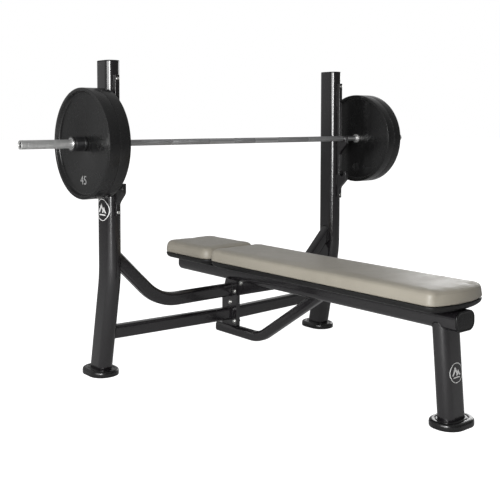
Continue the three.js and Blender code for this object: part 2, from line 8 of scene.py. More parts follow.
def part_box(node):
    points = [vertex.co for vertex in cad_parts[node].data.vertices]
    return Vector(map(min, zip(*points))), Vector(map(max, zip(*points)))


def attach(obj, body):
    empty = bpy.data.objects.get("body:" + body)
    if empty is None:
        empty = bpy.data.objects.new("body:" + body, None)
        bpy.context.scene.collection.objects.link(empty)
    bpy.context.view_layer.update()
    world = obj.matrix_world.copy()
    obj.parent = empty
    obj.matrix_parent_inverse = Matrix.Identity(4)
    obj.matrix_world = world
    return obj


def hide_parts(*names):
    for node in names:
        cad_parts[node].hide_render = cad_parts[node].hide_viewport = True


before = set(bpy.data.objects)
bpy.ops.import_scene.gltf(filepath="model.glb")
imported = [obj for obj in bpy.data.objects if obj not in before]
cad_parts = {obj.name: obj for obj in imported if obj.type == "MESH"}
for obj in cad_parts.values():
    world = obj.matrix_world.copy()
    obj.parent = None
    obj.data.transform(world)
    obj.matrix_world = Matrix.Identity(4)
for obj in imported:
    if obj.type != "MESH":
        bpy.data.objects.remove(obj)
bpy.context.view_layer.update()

# Olympic bench press. Metres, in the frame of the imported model. "left" is towards -X.

MM = 0.001
TAU = 2 * math.pi
X, Y, Z = Vector((1, 0, 0)), Vector((0, 1, 0)), Vector((0, 0, 1))
HANDS = ((-1, "left"), (1, "right"))

# Sections, bends and edges that the frame's boxes don't give.
TUBE_CORNER = 30 * MM
ARM_WIDE, ARM_THIN, ARM_CORNER = 58 * MM, 45 * MM, 13 * MM
BRACE_CORNER = 14 * MM
CAP_THICK = 5 * MM
GAP = 0.3 * MM
FOOT_FLOOR = 6 * MM
BEND_Z = 432 * MM
BEND_RUN = 55 * MM
ARM_BEND_RUN = 100 * MM
ARM_CORNER_X = 417 * MM
# How far the arms run into the uprights, and the brace into the spine.
UPPER_ARM_IN, LOWER_ARM_IN, BRACE_IN = 6 * MM, 5 * MM, 8 * MM
# Along Y from the uprights' plane.
LOWER_ARM_BACK = 47 * MM
BRACE_BEND_Y = -206 * MM
BRACE_TOP_Y = -568 * MM

CORNER_STEPS = 10
BEND_STEPS = 18
LATHE_STEPS = 72
SHARP = 32  # degrees: a steeper edge is shaded as sharp

# Weld beads: length of a step along one, length of a ripple and its share of the radius.
BEAD_STEP = 1.6 * MM
BEAD_WAVE = 5.5 * MM
BEAD_RIPPLE = 0.14
BEAD_SIDES = 8
POST_WELD, FLANGE_WELD, BRACE_WELD, THIN_WELD, RACK_WELD = (
    radius * MM for radius in (3.6, 3.0, 3.4, 2.6, 2.4))


def box(node):
    low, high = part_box(node)
    return low, high, (low + high) / 2, high - low


_, _, UPRIGHT, UPRIGHT_SIZE = box("right_upright")
_, CAP_HIGH, CAP, CAP_SIZE = box("right_upright_cap")
_, BAR_HIGH, BAR, BAR_SIZE = box("bar_shaft")
SPINE_LOW, SPINE_HIGH, SPINE, SPINE_SIZE = box("spine")
UPRIGHT_X = UPRIGHT.x
TUBE_THIN, TUBE_WIDE = UPRIGHT_SIZE.x, CAP_SIZE.y
PLANE_Y, TOP_Z = CAP.y, CAP_HIGH.z
BAR_RADIUS = BAR_SIZE.z / 2

# ---- materials


class Graph:
    """The nodes of a material or world. A value is a number, a colour or a node's output.

    One number stands for a grey where a colour is wanted."""

    def __init__(self, owner):
        owner.use_nodes = True
        self.nodes, self.links = owner.node_tree.nodes, owner.node_tree.links

    def feed(self, socket, value):
        if isinstance(value, bpy.types.NodeSocket):
            self.links.new(value, socket)
        elif socket.type == "RGBA":
            colour = value if isinstance(value, tuple) else (value, value, value)
            socket.default_value = (*colour, 1)
        else:
            socket.default_value = value

    def add(self, kind, inputs=(), **settings):
        """A new node, with its settings made first and its inputs after them."""
        node = self.nodes.new("ShaderNode" + kind)
        for name, value in settings.items():
            setattr(node, name, value)
        for key, value in dict(inputs).items():
            self.feed(node.inputs[key], value)
        return node

    def maths(self, kind, *values):
        return self.add("Math", enumerate(values), operation=kind).outputs[0]

    def spread(self, value, low, high, from_low=0.3, from_high=0.7):
        return self.add("MapRange", {
            "Value": value, "From Min": from_low, "From Max": from_high,
            "To Min": low, "To Max": high,
        }).outputs["Result"]

    def blend(self, factor, first, second, kind="MIX"):
        inputs = {"Factor": factor, 6: first, 7: second}
        return self.add("Mix", inputs, data_type="RGBA", blend_type=kind).outputs[2]

    def bump(self, height, distance, strength, normal=None):
        inputs = {"Strength": strength, "Distance": distance, "Height": height}
        if normal:
            inputs["Normal"] = normal
        return self.add("Bump", inputs).outputs["Normal"]


class Look(Graph):
    """A material whose textures lie in the piece's own coordinates."""

    def __init__(self, name):
        self.material = bpy.data.materials.new(name)
        super().__init__(self.material)
        self.where = self.add("TexCoord").outputs["Object"]

    def noise(self, scale, detail, where=None):
        return self.add("TexNoise", {
            "Scale": scale, "Detail": detail, "Roughness": 0.55,
            "Vector": where or self.where,
        }).outputs["Fac"]

    def patches(self, scale, detail, low=0, high=1):
        return self.spread(self.noise(scale, detail), low, high)

    def shade(self, **inputs):
        """Fills in the shader's inputs and gives the material."""
        shader = self.nodes["Principled BSDF"]
        for name, value in inputs.items():
            self.feed(shader.inputs[name.replace("_", " ")], value)
        return self.material


def edge_wear(look, amount):
    """0 on flat ground, up to amount where an edge is rubbed, broken up by noise."""
    pointiness = look.add("NewGeometry").outputs["Pointiness"]
    edge = look.spread(pointiness, 0, amount, 0.54, 0.62)
    broken = look.spread(look.noise(60, 4), 0.2, 1, 0.4, 0.6)
    return look.maths("MULTIPLY", edge, broken)


def coating(name, dark, light, rough, patch, grain, depth, strength=0.5, wear=None, **inputs):
    """A painted, moulded or coated surface: uneven colour and gloss over a fine grain."""
    look = Look(name)
    tint = look.blend(look.patches(patch, 5), dark, light)
    if wear:
        worn, amount = wear
        tint = look.blend(edge_wear(look, amount), tint, worn)
    return look.shade(
        Base_Color=tint,
        Roughness=look.patches(patch * 2.7, 6, *rough),
        Normal=look.bump(look.noise(grain, 2), depth, strength),
        **inputs)


def leather(name, dark, light, grain):
    """Upholstery vinyl: fine pebbled grain with painted shade in its creases, soft sheen, and
    slow changes of tone.
    """
    look = Look(name)
    tint = look.blend(look.patches(7, 4), dark, light)
    shift = look.add("TexNoise", {"Scale": 260, "Vector": look.where}).outputs["Color"]
    warp = look.add(
        "VectorMath", {0: shift, 1: (0.002, 0.002, 0.002), 2: look.where},
        operation="MULTIPLY_ADD")
    cells = look.add(
        "TexVoronoi", {"Scale": 620, "Vector": warp.outputs[0]}, feature="DISTANCE_TO_EDGE")
    pebble = look.spread(cells.outputs["Distance"], 0, 1, 0.0, 0.22)
    # Painted shade: the colour is darkened by up to 14% in the creases between the grain's
    # pebbles.
    painted_crease_shade = look.spread(pebble, 0.86, 1, 0, 1)
    waves = look.bump(look.noise(26, 2), 1.2 * MM, 0.25)
    return look.shade(
        Base_Color=look.blend(1, tint, painted_crease_shade, "MULTIPLY"),
        Roughness=look.patches(18, 5, 0.36, 0.46),
        Normal=look.bump(pebble, 0.12 * MM, grain, waves),
        Sheen_Weight=0.06, Sheen_Roughness=0.4)


def turned_steel(name, colour, rough, ridge=1500.0):
    """Bare or chromed steel with the faint rings that a lathe leaves round the X axis."""
    look = Look(name)
    stretched = look.add("Mapping", {"Scale": (ridge, 12, 12), "Vector": look.where})
    rings = look.noise(1, 2, stretched.outputs[0])
    dull = tuple(c * 0.8 for c in colour)
    return look.shade(
        Base_Color=look.blend(look.patches(45, 5), dull, colour),
        Roughness=look.spread(rings, *rough),
        Normal=look.bump(rings, 0.05 * MM, 0.25),
        Metallic=1)


# The shaft from its middle out: mm at which a length starts, and 1 if it's knurled.
KNURL_BANDS = ((0, 1), (60, 0), (200, 1), (405, 0), (410, 1), (640, 0), (752, 0))
KNURL_ROUND = 28
KNURL_ALONG = 2200


def shaft_steel(name):
    """Ground steel with diamond knurling in bands, drawn round the bar's own axis."""
    look = Look(name)
    x, y, z = look.add("SeparateXYZ", {0: look.where}).outputs
    across, up = look.maths("SUBTRACT", y, BAR.y), look.maths("SUBTRACT", z, BAR.z)
    turns = look.maths("MULTIPLY", look.maths("ARCTAN2", across, up), KNURL_ROUND)
    along = look.maths("MULTIPLY", x, KNURL_ALONG)
    diamonds = look.maths("MULTIPLY", *(
        look.maths("SINE", look.maths(kind, along, turns)) for kind in ("ADD", "SUBTRACT")))
    reach = KNURL_BANDS[-1][0]
    far = look.maths("DIVIDE", look.maths("ABSOLUTE", x), reach * MM)
    band = look.add("ValToRGB", {0: far})
    band.color_ramp.interpolation = "CONSTANT"
    stops = band.color_ramp.elements
    stops.remove(stops[1])
    for i, (start, knurled) in enumerate(KNURL_BANDS):
        stop = stops[0] if i == 0 else stops.new(start / reach)
        stop.position = start / reach
        stop.color = (knurled, knurled, knurled, 1)
    cut = band.outputs[0]
    smooth = look.blend(look.patches(40, 5, 0, 0.3), 0.74, 0.64)
    return look.shade(
        Base_Color=look.blend(cut, smooth, (0.52, 0.52, 0.525)),
        Roughness=look.spread(cut, 0.36, 0.5, 0, 1),
        Normal=look.bump(look.maths("MULTIPLY", diamonds, cut), 0.25 * MM, 0.8),
        Metallic=1)


# Darker and lighter colour, roughness range, scale of the patches, scale, depth and strength
# of the grain, colour and amount of wear on edges.
PAINT = coating(
    "charcoal_powder_coat", (0.0046, 0.0038, 0.0047), (0.0062, 0.0053, 0.0064), (0.17, 0.23),
    5, 1300, 0.05 * MM, 0.3, ((0.03, 0.028, 0.031), 0.2),
    Specular_IOR_Level=0.9, Coat_Weight=0.25, Coat_Roughness=0.12)
WEIGHT = coating(
    "weight_coat", (0.006, 0.006, 0.0061), (0.0075, 0.0075, 0.0076), (0.25, 0.29),
    6, 1900, 0.018 * MM, 0.2, (0.04, 0.2), Specular_IOR_Level=0.6)
RUBBER = coating(
    "foot_moulding", (0.003, 0.003, 0.0031), 0.0045, (0.20, 0.30), 22, 900, 0.06 * MM, 0.3,
    (0.03, 0.3), Specular_IOR_Level=0.7)
PLASTIC = coating(
    "cap_plastic", (0.003, 0.003, 0.0034), (0.0045, 0.0045, 0.005), (0.24, 0.34),
    30, 1500, 0.06 * MM, 0.3)
COLLAR = coating(
    "collar_black", (0.008, 0.008, 0.009), 0.013, (0.26, 0.38),
    40, 1500, 0.06 * MM, 0.3, (0.09, 0.5), Coat_Weight=0.3)
BOARD = coating(
    "pad_board_black", 0.003, (0.0055, 0.0053, 0.0051), (0.42, 0.58),
    20, 420, 0.35 * MM, 0.6)
WELD = coating(
    "painted_weld", (0.0042, 0.0036, 0.0043), (0.006, 0.0052, 0.0062), (0.26, 0.36),
    60, 700, 0.15 * MM, 0.4)
PRINT = (90, 2500, 0.03 * MM, 0.3)
WHITE_PRINT = coating(
    "white_print", (0.62, 0.62, 0.61), (0.78, 0.78, 0.77), (0.42, 0.55), *PRINT)
GREY_PRINT = coating("grey_print", 0.21, 0.30, (0.5, 0.6), *PRINT)
DARK_RAISED = coating(
    "raised_marking", 0.012, 0.018, (0.45, 0.55), 90, 1700, 0.1 * MM, 0.4)
VINYL = leather("stone_vinyl", (0.318, 0.293, 0.241), (0.363, 0.335, 0.279), 0.45)
SEAM = leather("seam_welt", (0.273, 0.252, 0.207), (0.311, 0.288, 0.239), 0.2)
THREAD = coating(
    "stitch_thread", (0.27, 0.25, 0.20), (0.33, 0.305, 0.25), (0.55, 0.7),
    200, 3500, 0.08 * MM, 0.6)
SHAFT = shaft_steel("shaft_steel")
SLEEVE = turned_steel("sleeve_steel", (0.80, 0.80, 0.79), (0.46, 0.54))
CHROME = turned_steel("chrome", (0.86, 0.86, 0.86), (0.16, 0.26), 900)
ZINC = turned_steel("zinc_fastener", (0.62, 0.62, 0.60), (0.2, 0.34), 400)
BRONZE = turned_steel("bushing_bronze", (0.52, 0.33, 0.14), (0.3, 0.42))

# ---- mesh helpers


def add_piece(name, verts, faces, material, body, slot=None, stands_for=(), angle=SHARP):
    """A named mesh piece that rides on a body, with outward faces and sharp edges kept."""
    mesh = bpy.data.meshes.new(name)
    shape = bmesh.new()
    points = [shape.verts.new(v) for v in verts]
    for face in faces:
        shape.faces.new([points[i] for i in face])
    bmesh.ops.recalc_face_normals(shape, faces=shape.faces)
    shape.to_mesh(mesh)
    shape.free()
    return add_mesh(name, mesh, material, body, stands_for, angle)


def add_object(name, data):
    made = bpy.data.objects.new(name, data)
    bpy.context.scene.collection.objects.link(made)
    return made


def evaluated(piece):
    return piece.evaluated_get(bpy.context.evaluated_depsgraph_get())


def add_mesh(name, mesh, material, body, stands_for=(), angle=SHARP):
    for polygon in mesh.polygons:
        polygon.use_smooth = True
    mesh.set_sharp_from_angle(angle=math.radians(angle))
    mesh.materials.clear()
    mesh.materials.append(material)
    piece = add_object(name, mesh)
    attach(piece, body)
    if stands_for:
        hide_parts(*stands_for)
    return piece


def add_tube(node, rings):
    add_piece(node + "_tube", *loft(rings), PAINT, "frame", "frame_paint", [node])


def add_weld(name, shape):
    add_piece(name, *shape, WELD, "frame", "frame_paint")


def round_edges(piece, width, segments=3, angle=35):
    bevel = piece.modifiers.new("edges", "BEVEL")
    bevel.width = width
    bevel.segments = segments
    bevel.limit_method = "ANGLE"
    bevel.angle_limit = math.radians(angle)


def loft(rings, loop=False):
    """Verts and faces of a skin over closed rings with the same number of points.

    The first and last rings are filled in, or joined to each other in a loop."""
    count = len(rings[0])
    verts = [point for ring in rings for point in ring]
    faces = []
    for i in range(len(rings) if loop else len(rings) - 1):
        a, b = i * count, (i + 1) % len(rings) * count
        for j in range(count):
            k = (j + 1) % count
            faces.append((a + j, a + k, b + k, b + j))
    if not loop:
        last = (len(rings) - 1) * count
        faces.append(tuple(range(count)))
        faces.append(tuple(range(last, last + count)))
    return verts, faces


def merge(*parts):
    verts, faces = [], []
    for part_verts, part_faces in parts:
        base = len(verts)
        verts += part_verts
        faces += [tuple(base + i for i in face) for face in part_faces]
    return verts, faces


def mm(*pairs):
    return [(u * MM, v * MM) for u, v in pairs]


def arc(count, start, turn, radius=1.0):
    """count + 1 points (u, v) on a circle, from one angle through a turn."""
    angles = [start + turn * i / count for i in range(count + 1)]
    return [(radius * math.cos(t), radius * math.sin(t)) for t in angles]


def ellipse(middle, first, second, a, b, steps):
    """A ring of points, up to a along the first direction and b along the second."""
    return [
        middle + first * (a * math.cos(t)) + second * (b * math.sin(t))
        for t in (i * TAU / steps for i in range(steps))
    ]


def disc_rings(middle, right, up, out, sizes, steps):
    """Rings of (radius, distance out), with steps sides."""
    return [ellipse(middle + out * d, right, up, r, r, steps) for r, d in sizes]


def curve(start, corner, end, t):
    return start * (1 - t) ** 2 + corner * 2 * t * (1 - t) + end * t * t


def rounded_rectangle(width, height, corner):
    """Points (across, up) of a rectangle with round corners, all the way round."""
    points = []
    for quarter, (sx, sy) in enumerate(((1, -1), (1, 1), (-1, 1), (-1, -1))):
        cx, cy = sx * (width / 2 - corner), sy * (height / 2 - corner)
        for u, v in arc(CORNER_STEPS, (quarter - 1) * TAU / 4, TAU / 4, corner):
            points.append((cx + u, cy + v))
    return points


def rounded_polyline(corners, steps=6, closed=True):
    """Rounds each (u, v, radius) corner of a polygon, and returns its points."""
    points = []
    count = len(corners)
    for i, (u, v, radius) in enumerate(corners):
        here = Vector((u, v))
        if radius <= 0 or (not closed and i in (0, count - 1)):
            points.append((u, v))
            continue
        before = Vector(corners[i - 1][:2]) - here
        after = Vector(corners[(i + 1) % count][:2]) - here
        half = before.angle(after) / 2
        reach = min(radius / math.tan(half), before.length * 0.49, after.length * 0.49)
        start, end = here + before.normalized() * reach, here + after.normalized() * reach
        points += [tuple(curve(start, here, end, j / steps)) for j in range(steps + 1)]
    return points


def bent_path(start, corner, end, bend):
    """(point, direction) pairs along two straight runs joined by a smooth bend."""
    one, two = (corner - start).normalized(), (end - corner).normalized()
    a, b = corner - one * bend, corner + two * bend
    path = [(start, one)]
    for i in range(BEND_STEPS + 1):
        t = i / BEND_STEPS
        path.append((curve(a, corner, b, t), (one * (1 - t) + two * t).normalized()))
    return path + [(end, two)]


def sweep(path, across, outline):
    """One ring round each (point, direction) of a flat path whose plane is square to across."""
    rings = []
    for point, along in path:
        normal = across.cross(along)
        rings.append([point + across * u + normal * v for u, v in outline])
    return rings


def slide_ring(ring, along, point, normal):
    """The ring's points moved along a direction on to a plane."""
    step = along.dot(normal)
    return [p + along * ((point - p).dot(normal) / step) for p in ring]


def lathe(profile, steps=LATHE_STEPS, loop=True, side=1):
    """Turns (distance along X, radius) points about the bar's axis. side -1 mirrors it in X."""
    middle = Vector((0, BAR.y, BAR.z))
    return loft([
        ellipse(middle + X * (side * along), Y, Z, radius, radius, steps)
        for along, radius in profile
    ], loop)


def corner_drop(u, half, corner, most=0.98):
    """How far a tube's round corner falls back from its flat face at u across it."""
    over = min(max(0.0, abs(u) - (half - corner)), corner * most)
    return corner - math.sqrt(corner ** 2 - over ** 2)


def resample(points, spacing):
    """Evenly spaced points round a closed loop."""
    loop = points + [points[0]]
    lengths = [(b - a).length for a, b in zip(loop, loop[1:])]
    total = sum(lengths)
    count = max(8, round(total / spacing))
    result, i, passed = [], 0, 0.0
    for k in range(count):
        want = total * k / count
        while i < len(lengths) - 1 and passed + lengths[i] < want:
            passed += lengths[i]
            i += 1
        t = (want - passed) / lengths[i] if lengths[i] else 0
        result.append(loop[i].lerp(loop[i + 1], min(max(t, 0), 1)))
    return result


def ripple(i, share):
    return 1 + share * math.sin(TAU * i * BEAD_STEP / BEAD_WAVE)


def bead(points, normal, radius, share=BEAD_RIPPLE):
    """A rippled weld bead along a closed loop in the plane square to normal."""
    loop = resample(points, BEAD_STEP)
    count = len(loop)
    rings = []
    for i, point in enumerate(loop):
        along = (loop[(i + 1) % count] - loop[i - 1]).normalized()
        out = along.cross(normal).normalized()
        size = radius * ripple(i, share)
        rings.append(ellipse(point, out, normal, size, size, BEAD_SIDES))
    return loft(rings, loop=True)


def line_weld(name, start, end, radius, axis):
    """A straight rippled weld bead with rounded ends."""
    along = (end - start).normalized()
    count = max(4, round((end - start).length / BEAD_STEP))
    rings = []
    for i in range(count + 1):
        t = i / count
        taper = math.sqrt(max(0.02, 1 - (2 * t - 1) ** 12))
        size = radius * taper * ripple(i, BEAD_RIPPLE)
        point = start.lerp(end, t)
        rings.append(ellipse(point, axis, along.cross(axis), size, size, BEAD_SIDES))
    add_weld(name, loft(rings))


def prism(outline, low, high):
    """An outline of (y, z) points, from one x to another."""
    return loft([[Vector((x, u, v)) for u, v in outline] for x in (low.x, high.x)])


def dress(node, material, bevel, segments=2):
    """Gives a CAD node that stays in view a better material and softer edges."""
    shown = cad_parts[node]
    shown.data.materials.clear()
    shown.data.materials.append(material)
    round_edges(shown, bevel, segments)


# ---- frame

# How far an upright moves along Y for each metre that it rises from its foot to the bend.
UPRIGHT_LEAN = (PLANE_Y - box("right_foot")[2].y) / BEND_Z


def make_uprights():
    foot_y = box("right_foot")[2].y
    outline = rounded_rectangle(TUBE_THIN, TUBE_WIDE, TUBE_CORNER)
    for side, hand in HANDS:
        x = side * UPRIGHT_X
        start = Vector((x, foot_y + UPRIGHT_LEAN * FOOT_FLOOR, FOOT_FLOOR))
        corner = Vector((x, PLANE_Y, BEND_Z))
        end = Vector((x, PLANE_Y, TOP_Z - CAP_THICK - GAP))
        path = bent_path(start, corner, end, BEND_RUN)
        rings = sweep(path, X, outline)
        rings[0] = slide_ring(rings[0], path[0][1], start, Z)
        add_tube(hand + "_upright", rings)


# Tube end, from its wall in: (inset mm, height mm). A rounded rim, then a shallow dome.
CAP_PROFILE = (
    (0.5, 0.0), (0.0, 0.8), (0.0, 2.6), (0.5, 3.8), (1.6, 4.7), (3.2, 5.0),
    (6.5, 5.0), (7.3, 4.5), (8.6, 4.4), (14, 4.75), (24, 4.95),
)


def end_cap(name, node, middle, up, out, width, height, corner):
    rings = []
    for inset, distance in mm(*CAP_PROFILE):
        outline = rounded_rectangle(
            width - 2 * inset, height - 2 * inset, max(corner - inset, 0.5 * MM))
        rings.append([middle + X * u + up * v + out * distance for u, v in outline])
    add_piece(name, *loft(rings), PLASTIC, "frame", "black_plastic", [node], 40)


def make_caps():
    for side, hand in HANDS:
        middle = Vector((side * UPRIGHT_X, PLANE_Y, TOP_Z - CAP_THICK))
        end_cap(
            hand + "_upright_end", hand + "_upright_cap", middle, Y, Z,
            TUBE_THIN, TUBE_WIDE, TUBE_CORNER)
    for end, edge, out in (
        ("head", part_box("spine_head_cap")[1].y, Y),
        ("foot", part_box("spine_foot_cap")[0].y, -Y),
    ):
        middle = Vector((0, edge, SPINE.z)) - out * CAP_THICK
        end_cap(
            f"spine_{end}_end", f"spine_{end}_cap", middle, Z, out,
            SPINE_SIZE.x, SPINE_SIZE.z, TUBE_CORNER)
    _, high, middle, size = box("brace_cap")
    spot = Vector((0, high.y - CAP_THICK, middle.z))
    end_cap("brace_end", "brace_cap", spot, Z, Y, size.x, size.z, BRACE_CORNER)


# Foot moulding, from its outer edge in: (inset mm, height mm).
FOOT_PROFILE = (
    (2.5, 0), (0.6, 0.8), (0, 3), (0, 15), (0.8, 19.5), (2.8, 23), (6, 25.2), (10, 26),
    (17, 26), (19, 25.4), (20, 23.4), (22.5, 23.4), (23.5, 25.4), (25, 26), (29.5, 26),
    (31, 25.5), (31.6, 22),
)
FOOT_SPREAD = 32 * MM
# The rings start to lean with the tube at this inset, fully after this run. In mm.
FOOT_UPRIGHT_TO, FOOT_LEAN_RUN = 14, 18


def make_foot(node, lean):
    _, _, middle, size = box(node)
    corner = TUBE_CORNER + FOOT_SPREAD
    rings = []
    for inset, height in FOOT_PROFILE:
        ring = rounded_rectangle(
            size.x - 2 * inset * MM, size.y - 2 * inset * MM, corner - inset * MM)
        slide = lean * height * MM * max(0.0, (inset - FOOT_UPRIGHT_TO) / FOOT_LEAN_RUN)
        rings.append([
            Vector((middle.x + u, middle.y + v + slide, height * MM)) for u, v in ring
        ])
    add_piece(
        node + "_moulding", *loft(rings), RUBBER, "frame", "foot_rubber", [node], 50)


def make_feet():
    for name, lean in (("left", UPRIGHT_LEAN), ("right", UPRIGHT_LEAN), ("front", LEG_LEAN)):
        make_foot(name + "_foot", lean)


# The front leg leans back a little as it rises to the spine, and runs on into it.
LEG_SET_BACK = 30 * MM
LEG_INTO_SPINE = 30 * MM
LEG_LEAN = LEG_SET_BACK / SPINE_LOW.z


def make_leg():
    foot_y = box("front_foot")[2].y
    start, end = (
        Vector((0, foot_y + LEG_LEAN * z, z)) for z in (FOOT_FLOOR, SPINE_LOW.z + LEG_INTO_SPINE))
    along = (end - start).normalized()
    outline = rounded_rectangle(TUBE_WIDE, TUBE_THIN, TUBE_CORNER)
    rings = sweep([(start, along), (end, along)], X, outline)
    rings = [slide_ring(rings[0], along, start, Z), slide_ring(rings[1], along, end, Z)]
    add_tube("front_leg", rings)
    # The weld follows the spine's round underside, so its sides climb.
    seam = []
    for point in slide_ring(rings[0], along, Vector((0, 0, SPINE_LOW.z)), Z):
        climb = corner_drop(point.x, SPINE_SIZE.x / 2, TUBE_CORNER, 0.985)
        seam.append(point + along * (climb / along.z))
    add_weld("front_leg_weld", bead(seam, Z, THIN_WELD, 0.12))


def make_spine():
    outline = rounded_rectangle(SPINE_SIZE.x, SPINE_SIZE.z, TUBE_CORNER)
    ends = [Vector((0, y, SPINE.z)) for y in (SPINE_LOW.y, SPINE_HIGH.y)]
    add_tube("spine", sweep([(point, Y) for point in ends], X, outline))


def make_arm(node, rings, along, wall, depth):
    """Runs the first ring into the upright's wall, and welds both ends."""
    seam = slide_ring(rings[0], along, wall, X)
    rings[0] = slide_ring(rings[0], along, wall + X * depth, X)
    add_tube(node, rings)
    add_weld(node + "_post_weld", bead(seam, X, POST_WELD))
    add_weld(node + "_flange_weld", bead(rings[-1], X, FLANGE_WELD))


def make_arms():
    upper_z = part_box("right_upper_arm")[0].z + ARM_WIDE / 2
    lower_z = box("right_lower_arm")[2].z
    flange_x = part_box("right_flange")[1].x
    post_x = UPRIGHT_X - TUBE_THIN / 2
    rise = UPRIGHT_X - ARM_CORNER_X
    for side, hand in HANDS:
        wall, flange = Vector((side * post_x, 0, 0)), Vector((side * flange_x, 0, 0))
        path = bent_path(
            Vector((side * UPRIGHT_X, PLANE_Y, upper_z + rise)),
            Vector((side * ARM_CORNER_X, PLANE_Y, upper_z)),
            Vector((side * flange_x, PLANE_Y, upper_z)), ARM_BEND_RUN)
        rings = sweep(path, Y, rounded_rectangle(ARM_THIN, ARM_WIDE, ARM_CORNER))
        make_arm(hand + "_upper_arm", rings, path[0][1], wall, side * UPPER_ARM_IN)
        outer = Vector((side * UPRIGHT_X, PLANE_Y + LOWER_ARM_BACK, lower_z))
        along = (Vector((0, PLANE_Y, lower_z)) - outer).normalized()
        outline = rounded_rectangle(ARM_WIDE, ARM_THIN, ARM_CORNER)
        ring = sweep([(outer, along)], Z, outline)[0]
        rings = [ring, slide_ring(ring, along, flange, X)]
        make_arm(hand + "_lower_arm", rings, along, wall, side * LOWER_ARM_IN)


def make_brace():
    low, high, _, size = box("brace")
    z = low.z + size.x / 2
    corner = Vector((0, PLANE_Y + BRACE_BEND_Y, z))
    top = Vector((0, PLANE_Y + BRACE_TOP_Y, SPINE_LOW.z))
    end = top + (top - corner).normalized() * 20 * MM
    path = bent_path(Vector((0, high.y, z)), corner, end, BEND_RUN)
    rings = sweep(path, X, rounded_rectangle(size.x, size.x, BRACE_CORNER))
    along = path[-1][1]
    seam = slide_ring(rings[-1], along, Vector((0, 0, SPINE_LOW.z)), Z)
    inside = Vector((0, 0, SPINE_LOW.z + BRACE_IN))
    rings[-1] = slide_ring(rings[-1], along, inside, Z)
    add_tube("brace", rings)
    add_weld("brace_spine_weld", bead(seam, Z, BRACE_WELD))


def make_plates():
    for node in ("left_flange", "right_flange", "centre_plate"):
        dress(node, PAINT, 0.8 * MM)
    low, _, _, size = box("centre_plate")
    for side, hand in HANDS:
        x = side * (size.x / 2 + 1 * MM)
        line_weld(
            "centre_plate_weld_" + hand, Vector((x, PLANE_Y - 50 * MM, SPINE_LOW.z)),
            Vector((x, low.y + 6 * MM, SPINE_LOW.z)), THIN_WELD, X)


BOLT_RADIUS = 8
WASHER_THICK = 1.6
GUSSET_FACE = 4 * MM


def hexagon_head(name, node, middle, out, height):
    """A washer and a chamfered hexagon head, with its height in mm."""
    radius, base = BOLT_RADIUS, WASHER_THICK
    washer = disc_rings(middle, Y, Z, out, mm(
        (radius * 1.3, 0), (radius * 1.38, 0.4), (radius * 1.38, 1.2),
        (radius * 1.3, base), (radius * 0.6, base)), 32)
    head = disc_rings(middle, Y, Z, out, mm(
        (radius * 0.98, base), (radius * 1.08, base + 0.3),
        (radius * 1.08, height - 1.2), (radius * 0.92, height)), 6)
    add_piece(
        name, *merge(loft(washer), loft(head)), ZINC, "frame", "bright_fastener", [node], 25)


def make_bolts():
    for kind, ending, out, height, face in (
        ("bolt", "_head", -X, 7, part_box("left_flange")[0].x),
        ("nut", "_hex", X, 9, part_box("right_flange")[1].x),
    ):
        for node in (*(f"flange_{kind}_{i}" for i in (1, 2, 3)), f"gusset_{kind}"):
            spot = box(node)[2]
            spot.x = face if node.startswith("flange") else out.x * GUSSET_FACE
            hexagon_head(node + ending, node, spot, out, height)
            if kind == "nut":
                stud = disc_rings(spot, Y, Z, X, mm((4.8, 8), (4.8, 12), (4, 12.8)), 20)
                add_piece(node + "_stud", *loft(stud), ZINC, "frame", "bright_fastener")
    for _, hand in HANDS:
        for i in (1, 2):
            node = f"{hand}_rack_bolt_{i}"
            low, _, middle, _ = box(node)
            spot = Vector((middle.x, low.y + 4 * MM, middle.z))
            rings = disc_rings(spot, X, Z, -Y, mm(
                (7, 0), (7, 1.2), (6.4, 2.4), (5, 3.5), (3.2, 4.0), (2.9, 2.4), (0.6, 2.4)), 28)
            add_piece(
                node + "_head", *loft(rings), ZINC, "frame", "bright_fastener", [node], 40)


# ---- bar racks

HOOK_DROP = 176 * MM
LINER = 3 * MM
CRADLE = BAR_RADIUS + LINER + 0.6 * MM
LIP, LIP_RISE, LIP_ROUND = 12 * MM, 11 * MM, 5.5 * MM
# How far below the bar a hook's front leaves the plate, turns out and turns up.
HOOK_START, HOOK_OUT, HOOK_UP = 110 * MM, 74 * MM, 30 * MM


def rack_outline(low, high):
    """The rack's side view as (y, z) points, top to bottom and back up round both hooks."""
    back, front = high.y, BAR.y + CRADLE
    inner = BAR.y - CRADLE
    outer = inner - LIP
    points = [(back, high.z), (back, low.z), (front, low.z)]
    for z in (BAR.z - HOOK_DROP, BAR.z):
        nose = rounded_polyline([
            (front, z - HOOK_START, 0), (front, z - HOOK_OUT, 26 * MM),
            (outer, z - HOOK_UP, 22 * MM), (outer, z + LIP_RISE, LIP_ROUND),
            (inner, z + LIP_RISE, LIP_ROUND), (inner, z, 0)], steps=8, closed=False)
        points += nose[1:-1]
        points += [(BAR.y + u, z + v) for u, v in arc(16, math.pi, math.pi, CRADLE)]
    return points + [(front, high.z)]


def make_racks():
    for _, hand in HANDS:
        node = hand + "_rack_plate"
        low, high, _, _ = box(node)
        plate = add_piece(
            node + "_hooks", *prism(rack_outline(low, high), low, high), PAINT, "frame",
            "frame_paint", [node])
        round_edges(plate, 1.6 * MM, 3, 40)
        for word, x in (("in", low.x), ("out", high.x)):
            for part, ends in enumerate((
                (high.z - 120 * MM, high.z - 24 * MM), (low.z + 60 * MM, low.z + 120 * MM),
            )):
                start, end = (Vector((x, high.y - 0.2 * MM, z)) for z in ends)
                line_weld(f"{hand}_rack_weld_{word}_{part + 1}", start, end, RACK_WELD, Y)
        for level in ("upper", "lower"):
            make_liner(f"{hand}_{level}_hook_liner")


